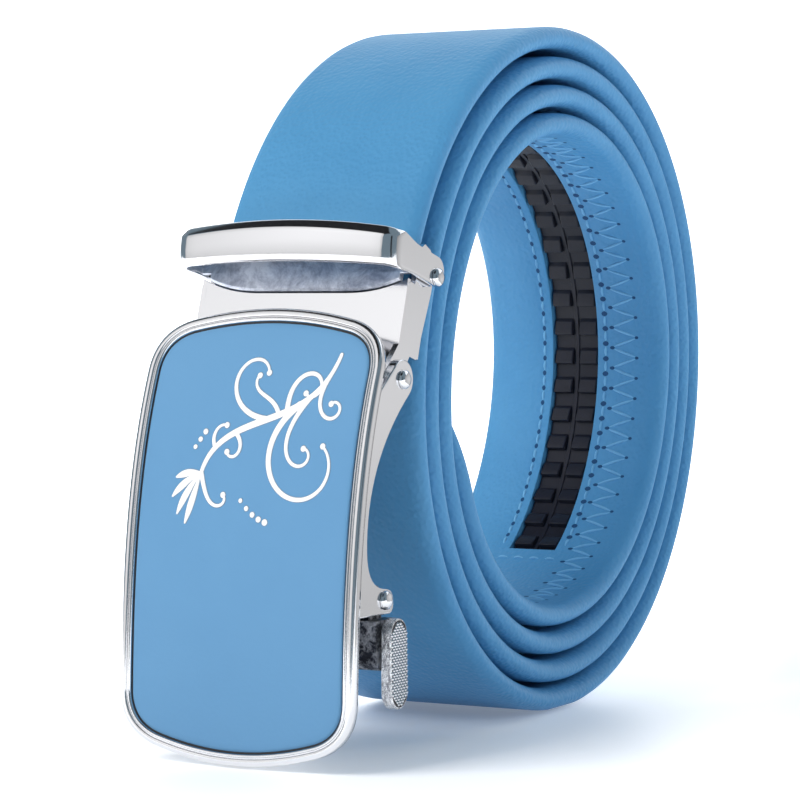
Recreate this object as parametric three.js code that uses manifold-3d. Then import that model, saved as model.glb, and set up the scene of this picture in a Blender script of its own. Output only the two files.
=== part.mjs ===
// A leather ratchet belt rolled into a coil, with its slide buckle standing in front of it.
// Millimetres. X runs across the strap, the buckle faces -Y, and the belt rests on Z = 0.
import * as THREE from "three";
import { mergeVertices } from "three/addons/utils/BufferGeometryUtils.js";
import Module from "manifold-3d";

const wasm = await Module();
wasm.setup();

// The strap and the coil it is rolled into. The coil is counted in turns from the buckle end.
const strapWidth = 35;
const strapThickness = 3.7;
const strapEdgeRound = 2.8;
const strapEdgeSteps = 4;
const coilTurns = 3.98;
const coilStart = THREE.MathUtils.degToRad(165);
const coilHeight = 55.14;
const coilRadius = 55.9;
const coilSquash = 2.7;
const coilLean = 1.12;
const layerGap = 0.3;
const layerSlack = 0.65;
const liftAtClip = 2.5;
const liftTurns = 0.3;
const stepsPerTurn = 47;
const clampedLength = 8.3;
const tipLength = 22;
const tipSteps = 6;
const tipEndShare = 0.2;
const restShift = 1.45;

// The slot in the body side of the strap and the rubber ratchet track in it.
const slotWidth = 9;
const slotDepth = 1.9;
const slotFirstStep = 113;
const slotLastStep = 170;
const slotEndRun = 1.1;
const slotOverrun = 0.15;
const trackGap = 0.3;
const trackBase = 0.6;
const trackGroove = 1.4;
const trackGrooveDrop = 0.15;
const trackBelowFace = 0.1;
const toothPitch = 5.55;
const toothRise = 0.4;
const toothFall = 0.9;

// The buckle plate: a sheet bent round X, with its front face given by length along it.
const plateOverhang = 3.4;
const plateWidth = strapWidth + 2 * plateOverhang;
const plateHeight = 68.3;
const plateThickness = 1.8;
const plateFootAhead = 16.3;
const plateFootAngle = THREE.MathUtils.degToRad(2);
const plateBend = THREE.MathUtils.degToRad(27.5);
const plateBendLength = 69;
const plateSheetLength = 76;
const plateStep = 4;
const plateBottomRise = 4.5;
const plateTopFall = 3.5;
const plateCorner = 6;
const rimWidth = 1.7;
const recessDepth = 0.9;
const inlayGap = 0.25;
const inlayThickness = 0.6;

// The side ears of the plate. The hinge is placed from the clip, and the rest from the plate's foot.
const hingeOut = 1.79;
const hingeUp = -13.3;
const leverBehindFoot = 10.1;
const leverHeight = 24.9;
const earThickness = 1.5;
const earInset = 0.1;
const earHingeRadius = 3;
const waistBehindFoot = 5.4;
const waistZ = 32.4;
const waistControlZ = 45.4;
const earFootZ = 22.7;
const earBelowHinge = 1;

// The clip on the strap end, in its own frame: out from the strap's face, and up along it.
const fit = 0.3;
const clipWall = 0.9;
const webTop = -0.4;
const flangeTop = 2.4;
const flangeFoot = -8.6;
const flangeBack = -5.9;
const clipEarTop = 9.1;
const clipEarFront = -0.9;
const clipEarCorner = 2;
const clipBarrelRadius = 2.2;
const clipBackBarHeight = 3.4;

// The keeper loop over the clip, in the same frame.
const loopGap = 0.25;
const loopWall = 0.85;
const loopInnerFront = 6.5;
const loopBarThickness = 1.3;
const loopLean = 0.12;
const loopFoot = 2.8;
const loopHeight = 5.7;
const loopCrown = 1.4;
const loopCorner = 2.4;
const loopArmFoot = 3.1;
const loopArmTop = 7.9;
const jawFront = 1.5;
const jawBack = 0.35;
const jawFoot = 0.6;
const jawTop = 6.4;
const jawEndBack = 0.8;
const jawEndFoot = 3.4;
const clampPinOut = -5.1;
const clampPinUp = 4.7;

// Pins.
const pinRadius = 1;
const headRadius = 1.7;
const headHeight = 0.9;
const pinGap = 0.08;
const headGap = 0.2;
const roundSteps = 16;

// The release lever and the pawl it turns.
const pawlAhead = 2.7;
const pawlBehind = 3;
const pawlFoot = 14.6;
const pawlTop = 22;
const pawlNose = 1.6;
const pawlNoseDrop = 2.4;
const pawlBarrelRadius = 2.2;
const leverWidth = 4.9;
const leverTop = 22.3;
const leverFoot = 8.7;
const leverTabBehind = 0.45;
const leverThickness = 2.2;
const leverKnuckle = 0.6;

// A closed loft through rings of points. The rings share one outline, which closes both ends.
function loft(rings, outline) {
  const count = outline.length;
  const positions = rings.flat().flatMap((point) => [point.x, point.y, point.z]);
  const faces = [];
  for (let ring = 0; ring + 1 < rings.length; ring += 1) {
    for (let i = 0; i < count; i += 1) {
      const j = (i + 1) % count;
      const a = ring * count + i;
      const b = ring * count + j;
      faces.push([a, b, b + count], [a, b + count, a + count]);
    }
  }
  const last = (rings.length - 1) * count;
  for (const [a, b, c] of THREE.ShapeUtils.triangulateShape(outline, [])) {
    const clockwise = THREE.ShapeUtils.isClockWise([outline[a], outline[b], outline[c]]);
    const start = clockwise === THREE.ShapeUtils.isClockWise(outline) ? [a, c, b] : [a, b, c];
    faces.push(start, [last + start[0], last + start[2], last + start[1]]);
  }
  const geometry = new THREE.BufferGeometry();
  geometry.setAttribute("position", new THREE.Float32BufferAttribute(positions, 3));
  geometry.setIndex(signedVolume(positions, faces) < 0 ? faces.flatMap(([a, b, c]) => [a, c, b]) : faces.flat());
  return geometry;
}

function signedVolume(positions, faces) {
  const corner = (i) => new THREE.Vector3(positions[3 * i], positions[3 * i + 1], positions[3 * i + 2]);
  return faces.reduce((sum, [a, b, c]) => sum + corner(a).dot(corner(b).cross(corner(c))), 0);
}

// Turns a geometry into a solid that can be added and cut.
function solid(geometry) {
  const plain = mergeVertices(geometry, 1e-4);
  return new wasm.Manifold(
    new wasm.Mesh({
      numProp: 3,
      vertProperties: plain.attributes.position.array,
      triVerts: new Uint32Array(plain.index.array),
    }),
  );
}

function mesh(name, shape, color, roughness, metalness) {
  const made = shape.getMesh();
  const geometry = new THREE.BufferGeometry();
  geometry.setAttribute("position", new THREE.BufferAttribute(made.vertProperties, 3));
  geometry.setIndex(new THREE.BufferAttribute(made.triVerts, 1));
  geometry.computeVertexNormals();
  const node = new THREE.Mesh(geometry, new THREE.MeshStandardMaterial({ color, roughness, metalness }));
  node.name = name;
  return node;
}

// A side outline of [Y, Z] points stretched along X, from x0 to x1.
function sidePrism(points, x0, x1) {
  const ring = (x) => points.map(([y, z]) => new THREE.Vector3(x, y, z));
  const outline = points.map(([y, z]) => new THREE.Vector2(y, z));
  return solid(loft([ring(x0), ring(x1)], outline));
}

function bothSides(points, x0, x1) {
  return sidePrism(points, x0, x1).add(sidePrism(points, -x1, -x0));
}

function circle([y, z], radius) {
  return Array.from({ length: roundSteps }, (_, i) => {
    const angle = (2 * Math.PI * i) / roundSteps;
    return [y + radius * Math.cos(angle), z + radius * Math.sin(angle)];
  });
}

function hole(centre) {
  return sidePrism(circle(centre, pinRadius + pinGap), -strapWidth, strapWidth);
}

// A pin along X with a domed head at each end; reach is the outer face the heads bear on.
function pin(centre, reach) {
  const bearing = reach + headGap;
  const half = [
    [0, pinRadius],
    [bearing, pinRadius],
    [bearing, headRadius],
    [bearing + 0.4 * headHeight, 0.97 * headRadius],
    [bearing + 0.8 * headHeight, 0.7 * headRadius],
    [bearing + headHeight, 0.3 * headRadius],
  ];
  const stations = [...half.slice(1).reverse().map(([x, r]) => [-x, r]), ...half.slice(1)];
  const rings = stations.map(([x, radius]) => circle(centre, radius).map(([y, z]) => new THREE.Vector3(x, y, z)));
  return solid(loft(rings, circle(centre, pinRadius).map(([y, z]) => new THREE.Vector2(y, z))));
}

// Outer face of the coil after so many turns, as [Y, Z].
function coilPoint(turns) {
  const angle = coilStart - 2 * Math.PI * turns;
  const pitch = strapThickness + layerGap + layerSlack * Math.sin(angle) ** 2;
  const lift = liftAtClip * Math.max(0, 1 - turns / liftTurns) ** 2;
  const shape = coilLean * Math.sin(2 * angle) - coilSquash * Math.cos(2 * angle);
  const radius = coilRadius + shape - pitch * turns + lift;
  return [radius * Math.cos(angle), Math.max(0, coilHeight + radius * Math.sin(angle))];
}

// Direction of the strap after so many turns, away from the buckle.
function coilDirection(turns) {
  const small = 1e-3;
  const [y0, z0] = coilPoint(Math.max(0, turns - small));
  const [y1, z1] = coilPoint(Math.max(0, turns - small) + 2 * small);
  const length = Math.hypot(y1 - y0, z1 - z0);
  return [(y1 - y0) / length, (z1 - z0) / length];
}

const clipOrigin = coilPoint(0);
const clipUp = coilDirection(0);
const clipOut = [-clipUp[1], clipUp[0]];

// A point of the clip's own frame as [Y, Z].
function clipPoint([out, up]) {
  return [
    clipOrigin[0] + out * clipOut[0] + up * clipUp[0],
    clipOrigin[1] + out * clipOut[1] + up * clipUp[1],
  ];
}

const hingeCentre = clipPoint([hingeOut, hingeUp]);
const plateFootY = hingeCentre[0] - plateFootAhead;
const leverCentre = [plateFootY + leverBehindFoot, leverHeight];
const waistY = plateFootY + waistBehindFoot;
const earTopZ = hingeCentre[1] - earBelowHinge;

// One cross-section of the strap: where its outer face is, which way is inward, half its width.
function strapStation(turns) {
  const [y, z] = coilDirection(turns);
  return { face: coilPoint(turns), inward: [z, -y], half: strapWidth / 2 };
}

function strapStations() {
  const end = strapStation(0);
  const stations = [{ ...end, face: clipPoint([0, -clampedLength]) }];
  const whole = Math.floor(coilTurns * stepsPerTurn);
  for (let step = 0; step <= whole; step += 1) {
    stations.push(strapStation(step / stepsPerTurn));
  }
  return stations;
}

const stations = strapStations();

// The stations count the clamped end first, so a step's own station is the next one.
const slotFirst = slotFirstStep + 1;
const slotLast = slotLastStep + 1;

function distance(a, b) {
  return Math.hypot(a.face[0] - b.face[0], a.face[1] - b.face[1]);
}

// The station at a length along the strap from a given station, on the straight between two.
function alongStrap(first, length) {
  let left = length;
  let index = first;
  while (left > distance(stations[index], stations[index + 1])) {
    left -= distance(stations[index], stations[index + 1]);
    index += 1;
  }
  const share = left / distance(stations[index], stations[index + 1]);
  const mix = (a, b) => a.map((value, i) => value + share * (b[i] - value));
  const here = stations[index];
  const next = stations[index + 1];
  return { face: mix(here.face, next.face), inward: mix(here.inward, next.inward) };
}

// A ring of [X, depth] points under a station's outer face.
function ringAt({ face, inward }, points) {
  return points.map(([x, depth]) => new THREE.Vector3(x, face[0] + depth * inward[0], face[1] + depth * inward[1]));
}

// The strap's section: flat faces joined by half-ellipse edges.
function strapSection(half) {
  const round = Math.min(strapEdgeRound, 0.8 * half);
  const right = Array.from({ length: strapEdgeSteps + 1 }, (_, i) => {
    const angle = Math.PI / 2 - (Math.PI * i) / strapEdgeSteps;
    return [half - round + round * Math.cos(angle), (strapThickness / 2) * (1 - Math.sin(angle))];
  });
  return [...right, ...right.map(([x, depth]) => [-x, depth]).reverse()];
}

function outlineOf(points) {
  return points.map(([x, depth]) => new THREE.Vector2(x, depth));
}

// The tail ends in a rounded tongue, so the last stations get narrower along an ellipse.
function withTip(all) {
  const last = all.length - 1;
  let start = last;
  let covered = 0;
  while (covered < tipLength) {
    covered += distance(all[start], all[start - 1]);
    start -= 1;
  }
  const narrowed = Array.from({ length: tipSteps }, (_, i) => {
    const share = Math.sin((Math.PI / 2) * ((i + 1) / tipSteps));
    const width = Math.max(tipEndShare, Math.sqrt(1 - share ** 2));
    return { ...alongStrap(start, Math.min(share, 0.9999) * covered), half: (strapWidth / 2) * width };
  });
  return [...all.slice(0, start + 1), ...narrowed];
}

function slotCutter() {
  const top = strapThickness + slotOverrun;
  const points = [
    [-slotWidth / 2, strapThickness - slotDepth],
    [slotWidth / 2, strapThickness - slotDepth],
    [slotWidth / 2, top],
    [-slotWidth / 2, top],
  ];
  const rings = [...stations.slice(slotFirst, slotLast + 1), alongStrap(slotLast, slotEndRun)].map((station) =>
    ringAt(station, points),
  );
  return solid(loft(rings, outlineOf(points)));
}

function strapSolid() {
  const rings = withTip(stations).map((station) => ringAt(station, strapSection(station.half)));
  return solid(loft(rings, outlineOf(strapSection(strapWidth / 2)))).subtract(slotCutter());
}

// The track's section with its two rows of teeth standing to a depth from the outer face.
function trackSection(toothDepth) {
  const half = slotWidth / 2 - trackGap;
  const floor = strapThickness - slotDepth + trackGap;
  const valley = floor + trackBase - trackGrooveDrop;
  return [
    [-half, floor],
    [half, floor],
    [half, toothDepth],
    [trackGroove / 2, toothDepth],
    [trackGroove / 2, valley],
    [-trackGroove / 2, valley],
    [-trackGroove / 2, toothDepth],
    [-half, toothDepth],
  ];
}

function trackSolid() {
  const low = trackSection(strapThickness - slotDepth + trackGap + trackBase);
  const high = trackSection(strapThickness - trackBelowFace);
  const run = stations
    .slice(slotFirst, slotLast)
    .reduce((sum, station, i) => sum + distance(station, stations[slotFirst + i + 1]), slotEndRun - 2 * trackGap);
  const teeth = Math.round(run / toothPitch);
  const pitch = run / teeth;
  const at = (length, points) => ringAt(alongStrap(slotFirst, trackGap + length), points);
  const rings = [];
  for (let tooth = 0; tooth < teeth; tooth += 1) {
    const start = tooth * pitch;
    rings.push(at(start, low));
    rings.push(at(start + toothRise * pitch, high));
    rings.push(at(start + toothFall * pitch, high));
  }
  rings.push(at(run, low));
  return solid(loft(rings, outlineOf(high)));
}

// A point of the plate as [Y, Z]: length along its front face from the foot, and depth behind it.
function platePoint(length, depth) {
  const parts = 40;
  let y = plateFootY;
  let z = 0;
  const slope = (run) => plateFootAngle + plateBend * (Math.max(0, run) / plateBendLength) ** 2;
  for (let i = 0; i < parts; i += 1) {
    const angle = slope(((i + 0.5) * length) / parts);
    y += (Math.sin(angle) * length) / parts;
    z += (Math.cos(angle) * length) / parts;
  }
  const tilt = slope(length);
  return [y + depth * Math.cos(tilt), z - depth * Math.sin(tilt)];
}

// A bent sheet between two depths of the plate, wider and longer than the plate itself.
function plateSheet(front, back) {
  const lengths = [];
  for (let length = -plateStep; length <= plateSheetLength; length += plateStep) {
    lengths.push(length);
  }
  const points = [...lengths.map((l) => platePoint(l, front)), ...lengths.reverse().map((l) => platePoint(l, back))];
  return sidePrism(points, -plateWidth, plateWidth);
}

// The plate's front outline, moved in by an inset and stretched along Y.
function plateOutline(inset) {
  const half = plateWidth / 2 - inset;
  const corner = plateCorner - inset;
  const bow = (x) => (x / (plateWidth / 2)) ** 2;
  const foot = (x) => inset + plateBottomRise * bow(x);
  const top = (x) => plateHeight - inset - plateTopFall * bow(x);
  const run = half - corner;
  const shape = new THREE.Shape();
  const edgeSteps = 8;
  shape.moveTo(-run, foot(run));
  for (let i = 1; i <= edgeSteps; i += 1) {
    const x = run * ((2 * i) / edgeSteps - 1);
    shape.lineTo(x, foot(x));
  }
  shape.quadraticCurveTo(half, foot(half), half, foot(half) + corner);
  shape.lineTo(half, top(half) - corner);
  shape.quadraticCurveTo(half, top(half), run, top(run));
  for (let i = 1; i <= edgeSteps; i += 1) {
    const x = run * (1 - (2 * i) / edgeSteps);
    shape.lineTo(x, top(x));
  }
  shape.quadraticCurveTo(-half, top(half), -half, top(half) - corner);
  shape.lineTo(-half, foot(half) + corner);
  shape.quadraticCurveTo(-half, foot(half), -run, foot(run));
  const outline = shape.getPoints(5).slice(0, -1);
  const ring = (y) => outline.map((point) => new THREE.Vector3(point.x, y, point.y));
  return solid(loft([ring(plateFootY - plateThickness), ring(clipOrigin[0])], outline));
}

// The side ear: round the hinge pin, in to a waist, out round the lever pin, cut flat below.
function earPoints() {
  const [hingeY, hingeZ] = hingeCentre;
  const [leverY, leverZ] = leverCentre;
  const shape = new THREE.Shape();
  const middle = plateThickness / 2;
  const [startY, startZ] = platePoint(earTopZ + 2, middle);
  shape.moveTo(startY, startZ);
  shape.quadraticCurveTo(hingeY - 4.2, hingeZ + 0.4, hingeY - 2.1, hingeZ + 2.1);
  shape.absarc(hingeY, hingeZ, earHingeRadius, 0.75 * Math.PI, -0.3 * Math.PI, true);
  shape.quadraticCurveTo(waistY, waistControlZ, waistY, waistZ);
  shape.quadraticCurveTo(waistY, leverZ + 2.1, leverY + 0.4, leverZ + 1.7);
  shape.quadraticCurveTo(leverY + 2.6, leverZ + 1.5, leverY + 2.6, leverZ - 0.4);
  shape.quadraticCurveTo(leverY + 2.6, earFootZ, leverY + 0.9, earFootZ);
  for (let length = earFootZ; length < earTopZ; length += plateStep) {
    shape.lineTo(...platePoint(length, middle));
  }
  return shape.getPoints(6).map((point) => [point.x, point.y]);
}

function plateFrameSolid() {
  const outer = plateWidth / 2 - earInset;
  return plateSheet(0, plateThickness)
    .intersect(plateOutline(0))
    .subtract(plateSheet(-plateThickness, recessDepth).intersect(plateOutline(rimWidth)))
    .add(bothSides(earPoints(), outer - earThickness, outer))
    .subtract(hole(hingeCentre))
    .subtract(hole(leverCentre));
}

function plateInlaySolid() {
  const front = recessDepth - fit - inlayThickness;
  return plateSheet(front, front + inlayThickness).intersect(plateOutline(rimWidth + inlayGap));
}

const clipInner = strapWidth / 2 + fit;
const clipOuter = clipInner + clipWall;

// The clip: a web in front of the strap end, two flanges, a bar behind it and a hinge barrel.
function clipSolid() {
  const webFront = fit + clipWall;
  const hinge = toClip(hingeCentre);
  const web = [
    [fit, hinge[1]],
    [webFront, hinge[1]],
    [webFront, webTop],
    [fit, webTop],
  ];
  const flange = [
    [webFront, flangeFoot],
    [webFront, flangeTop - 0.8],
    [webFront - 0.8, flangeTop],
    [clipEarFront, flangeTop],
    [clipEarFront, clipEarTop - 1.2],
    [clipEarFront - 1.2, clipEarTop],
    [flangeBack + clipEarCorner, clipEarTop - 0.4],
    [flangeBack, clipEarTop - clipEarCorner],
    [flangeBack, flangeTop],
    [flangeBack + 1.5, flangeFoot],
  ];
  const lug = [
    [webFront - 4, flangeFoot + 1],
    [webFront, flangeFoot + 1],
    [hinge[0] + 0.9 * clipBarrelRadius, hinge[1] + 1],
    [hinge[0] - clipBarrelRadius, hinge[1]],
  ];
  const backBar = [
    [-strapThickness - fit - clipWall, flangeFoot + 0.2],
    [-strapThickness - fit, flangeFoot + 0.2],
    [-strapThickness - fit, flangeFoot + clipBackBarHeight],
    [-strapThickness - fit - clipWall, flangeFoot + clipBackBarHeight],
  ];
  return sidePrism(web.map(clipPoint), -clipOuter, clipOuter)
    .add(sidePrism(circle(hingeCentre, clipBarrelRadius), -clipOuter, clipOuter))
    .add(sidePrism(backBar.map(clipPoint), -clipOuter, clipOuter))
    .add(bothSides(flange.map(clipPoint), clipInner, clipOuter))
    .add(bothSides(lug.map(clipPoint), clipInner, clipOuter))
    .subtract(hole(clampPinCentre))
    .subtract(hole(hingeCentre));
}

function toClip([y, z]) {
  const dy = y - clipOrigin[0];
  const dz = z - clipOrigin[1];
  return [dy * clipOut[0] + dz * clipOut[1], dy * clipUp[0] + dz * clipUp[1]];
}

const clampPinCentre = clipPoint([clampPinOut, clampPinUp]);
const loopInner = clipOuter + loopGap;
const loopOuter = loopInner + loopWall;

// A block of the clip's frame: an X, out outline stretched upwards and leaning out as it rises.
function leaningBlock(outline, foot, top) {
  const ring = (up) =>
    outline.map((point) => {
      const [y, z] = clipPoint([point.y + loopLean * (up - foot), up]);
      return new THREE.Vector3(point.x, y, z);
    });
  return solid(loft([ring(foot), ring(top)], outline));
}

// An open-backed U seen from above, with rounded front corners.
function loopOutline(half, front, corner) {
  const back = 2 * clampPinOut;
  const shape = new THREE.Shape();
  shape.moveTo(-half, back);
  shape.lineTo(-half, front - corner);
  shape.quadraticCurveTo(-half, front, corner - half, front);
  shape.lineTo(half - corner, front);
  shape.quadraticCurveTo(half, front, half, front - corner);
  shape.lineTo(half, back);
  return shape.getPoints(5);
}

function loopSolid() {
  const front = loopInnerFront + loopBarThickness;
  const top = loopFoot + loopHeight;
  const under = loopFoot - loopHeight;
  const above = top + loopHeight;
  const ring = leaningBlock(loopOutline(loopOuter, front, loopCorner), under, above).subtract(
    leaningBlock(loopOutline(loopInner, loopInnerFront, loopCorner - loopWall), under - 1, above + 1),
  );
  const side = new THREE.Shape();
  const armEnd = clampPinOut - 2.2;
  const tall = front + 3;
  side.moveTo(tall, loopFoot);
  side.lineTo(loopInnerFront, loopFoot);
  side.quadraticCurveTo(loopInnerFront - 3, loopArmFoot + 0.2, 0, loopArmFoot + 0.3);
  side.lineTo(clampPinOut, loopArmFoot - 0.4);
  side.quadraticCurveTo(armEnd, loopArmFoot - 0.4, armEnd, clampPinUp + 0.4);
  side.quadraticCurveTo(armEnd, loopArmTop - 0.5, clampPinOut, loopArmTop - 0.3);
  side.lineTo(0, loopArmTop);
  side.quadraticCurveTo(loopInnerFront - 3, loopArmTop + 0.2, loopInnerFront, top);
  side.lineTo(loopInnerFront, top + loopCrown);
  side.lineTo(tall, top + loopCrown);
  const arms = side.getPoints(4).map((point) => clipPoint([point.x, point.y]));
  return ring
    .intersect(sidePrism(arms, -strapWidth, strapWidth))
    .intersect(crownPrism(top))
    .add(jawSolid())
    .subtract(hole(clampPinCentre));
}

// Everything below the loop's crowned top edge, seen from the front.
function crownPrism(top) {
  const steps = 10;
  const outline = [];
  for (let i = 0; i <= steps; i += 1) {
    const share = (2 * i) / steps - 1;
    outline.push(new THREE.Vector2(share * (loopOuter + 1), top + loopCrown * (1 - share ** 2)));
  }
  outline.push(new THREE.Vector2(loopOuter + 1, -loopHeight), new THREE.Vector2(-loopOuter - 1, -loopHeight));
  const ring = (out) =>
    outline.map((point) => {
      const [y, z] = clipPoint([out, point.y]);
      return new THREE.Vector3(point.x, y, z);
    });
  return solid(loft([ring(-strapWidth), ring(strapWidth)], outline));
}

// The jaw that bears on the strap, between the loop's arms.
function jawSolid() {
  const bite = [
    [jawBack, jawFoot],
    [jawFront, jawFoot + 0.5],
    [jawFront, jawTop],
    [jawBack, jawTop],
  ];
  const ends = [
    [jawEndBack, jawEndFoot],
    [jawFront, jawEndFoot],
    [jawFront, jawTop],
    [jawEndBack, jawTop],
  ];
  const half = strapWidth / 2 - fit;
  const wide = loopInner + loopWall / 2;
  return sidePrism(bite.map(clipPoint), -half, half).add(sidePrism(ends.map(clipPoint), -wide, wide));
}

const earInner = plateWidth / 2 - earInset - earThickness;

const pawlFront = leverCentre[0] - pawlAhead;
const pawlBack = leverCentre[0] + pawlBehind;

// The pawl: a barrel on the lever pin with a block below it and a nose towards the strap.
function pawlSolid() {
  const half = earInner - fit;
  const block = [
    [pawlFront, pawlFoot + 1],
    [pawlFront + 1, pawlFoot],
    [pawlBack - 1, pawlFoot],
    [pawlBack, pawlFoot + 1],
    [pawlBack, pawlTop - pawlNoseDrop],
    [pawlBack + pawlNose, pawlTop - 0.4],
    [pawlBack, pawlTop],
    [pawlFront, pawlTop],
  ];
  const neck = [
    [leverCentre[0] - 0.8 * pawlBarrelRadius, pawlTop - 0.5],
    [leverCentre[0] + 0.8 * pawlBarrelRadius, pawlTop - 0.5],
    [leverCentre[0] + pawlBarrelRadius, leverCentre[1]],
    [leverCentre[0] - pawlBarrelRadius, leverCentre[1]],
  ];
  return sidePrism(block, -half, plateWidth / 2 - earInset)
    .add(sidePrism(neck, -half, half))
    .add(sidePrism(circle(leverCentre, pawlBarrelRadius), -half, half))
    .subtract(hole(leverCentre));
}

// The thumb tab of the lever, outside the plate's edge.
function leverSolid() {
  const x0 = plateWidth / 2 - earInset + fit;
  const half = leverWidth / 2;
  const leverCentreY = leverCentre[0] + leverTabBehind;
  const shape = new THREE.Shape();
  shape.absarc(leverCentreY, leverFoot + half, half, -Math.PI, 0, false);
  shape.absarc(leverCentreY, leverTop - half, half, 0, Math.PI, false);
  const tab = shape.getPoints(8).map((point) => [point.x, point.y]);
  const knuckle = circle([leverCentreY + leverKnuckle, leverTop - half], half);
  return sidePrism(tab, x0, x0 + leverThickness).add(
    sidePrism(knuckle, x0, x0 + leverThickness - leverKnuckle),
  );
}

const belt = new THREE.Group();
belt.name = "ratchet_belt";
const earOuter = plateWidth / 2 - earInset;
belt.add(
  mesh("strap", strapSolid(), 0x5b9ccc, 0.6, 0),
  mesh("ratchet_track", trackSolid(), 0x2a2c33, 0.6, 0),
  mesh("plate_frame", plateFrameSolid(), 0xd8d9dc, 0.15, 1),
  mesh("plate_inlay", plateInlaySolid(), 0x74a9d0, 0.45, 0),
  mesh("clip_channel", clipSolid(), 0xd8d9dc, 0.15, 1),
  mesh("keeper_loop", loopSolid(), 0xd8d9dc, 0.15, 1),
  mesh("clamp_pin", pin(clampPinCentre, loopOuter), 0xd8d9dc, 0.2, 1),
  mesh("hinge_pin", pin(hingeCentre, earOuter), 0xd8d9dc, 0.2, 1),
  mesh("lever_pin", pin(leverCentre, earOuter), 0xd8d9dc, 0.2, 1),
  mesh("ratchet_pawl", pawlSolid(), 0x4c4f57, 0.5, 1),
  mesh("release_lever", leverSolid(), 0xc2c3c7, 0.3, 1),
);
belt.position.y = restShift;

export default belt;
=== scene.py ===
from math import atan2, ceil, cos, dist, hypot, pi, radians, sin, sqrt, tan

import bmesh
import bpy
from mathutils import Matrix, Vector


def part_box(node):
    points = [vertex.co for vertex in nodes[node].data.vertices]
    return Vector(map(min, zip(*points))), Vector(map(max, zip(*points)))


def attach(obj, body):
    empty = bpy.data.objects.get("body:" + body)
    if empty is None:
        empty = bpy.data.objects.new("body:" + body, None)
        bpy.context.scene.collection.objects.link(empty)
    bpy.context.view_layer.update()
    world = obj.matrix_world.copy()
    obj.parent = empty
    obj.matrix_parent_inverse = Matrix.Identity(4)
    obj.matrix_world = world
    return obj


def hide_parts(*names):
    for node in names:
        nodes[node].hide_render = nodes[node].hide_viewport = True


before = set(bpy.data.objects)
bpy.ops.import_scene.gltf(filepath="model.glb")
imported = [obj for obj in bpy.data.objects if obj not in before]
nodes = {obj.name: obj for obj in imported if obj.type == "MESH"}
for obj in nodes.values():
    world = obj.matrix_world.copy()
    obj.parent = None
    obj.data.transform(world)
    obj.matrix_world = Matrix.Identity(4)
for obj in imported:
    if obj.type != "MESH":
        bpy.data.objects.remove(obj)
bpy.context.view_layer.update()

# The strap: one length of sky-blue leather, rolled into four turns from the clip inwards.
# It is cut with soft rounded edges, and a slot is milled in its body side for the ratchet track.
# All lengths are millimetres until a mesh is made.
STRAP_WIDTH = 35.0
STRAP_THICKNESS = 3.7
EDGE_ROUND = 2.8
EDGE_STEPS = 10
COIL_TURNS = 3.98
COIL_START = radians(165)
COIL_HEIGHT = 55.14
COIL_RADIUS = 55.9
COIL_LEAN = 1.12
COIL_SQUASH = 2.7
LAYER_GAP = 0.3
LAYER_SLACK = 0.65
LIFT_AT_CLIP = 2.5
LIFT_TURNS = 0.3
REST_SHIFT = 1.45
STEPS_PER_TURN = 188
CLAMPED_LENGTH = 8.3
TIP_LENGTH = 22.0
TIP_STEPS = 24
TIP_END_SHARE = 0.12
TIP_EDGE_SHARE = 0.8
TIP_SLOT_SHARE = 0.6
TIP_STOP = 0.9999
SLOT_WIDTH = 9.0
SLOT_DEPTH = 1.9
SLOT_LIP = 0.12
SLOT_LIP_RUN = 0.35
SLOT_FIRST_TURN = 113 / 47
SLOT_LAST_TURN = 170 / 47
SLOT_END_RUN = 1.1


def coil_point(turns):
    """Y and Z of the strap's outer face, a number of turns from the clip."""
    angle = COIL_START - 2 * pi * turns
    pitch = STRAP_THICKNESS + LAYER_GAP + LAYER_SLACK * sin(angle) ** 2
    lift = LIFT_AT_CLIP * max(0, 1 - turns / LIFT_TURNS) ** 2
    shape = COIL_LEAN * sin(2 * angle) - COIL_SQUASH * cos(2 * angle)
    radius = COIL_RADIUS + shape - pitch * turns + lift
    return (REST_SHIFT + radius * cos(angle), max(0, COIL_HEIGHT + radius * sin(angle)))


def unit(vector):
    length = hypot(*vector)
    return (vector[0] / length, vector[1] / length)


def coil_direction(turns):
    first = coil_point(max(0, turns - 1e-3))
    second = coil_point(max(0, turns - 1e-3) + 2e-3)
    return unit((second[0] - first[0], second[1] - first[1]))


CLIP_ORIGIN = coil_point(0)
CLIP_UP = coil_direction(0)
CLIP_OUT = (-CLIP_UP[1], CLIP_UP[0])


def clip_point(out, up):
    """Y and Z of a place on the clip, out from the strap's face and up along it."""
    y = CLIP_ORIGIN[0] + out * CLIP_OUT[0] + up * CLIP_UP[0]
    z = CLIP_ORIGIN[1] + out * CLIP_OUT[1] + up * CLIP_UP[1]
    return (y, z)


def strap_stations():
    """Each station is its length along the strap, its turns, its outer face and the way inwards."""
    rows = [(-CLAMPED_LENGTH, 0, clip_point(0, -CLAMPED_LENGTH), (CLIP_UP[1], -CLIP_UP[0]))]
    length = 0.0
    before = CLIP_ORIGIN
    for step in range(int(COIL_TURNS * STEPS_PER_TURN) + 1):
        turns = step / STEPS_PER_TURN
        face = coil_point(turns)
        length += dist(face, before)
        before = face
        y, z = coil_direction(turns)
        rows.append((length, turns, face, (z, -y)))
    return rows


stations = strap_stations()
strap_length = stations[-1][0]


def length_at(turns):
    return stations[1 + round(turns * STEPS_PER_TURN)][0]


slot_from = length_at(SLOT_FIRST_TURN)
slot_to = length_at(SLOT_LAST_TURN) + SLOT_END_RUN


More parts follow.
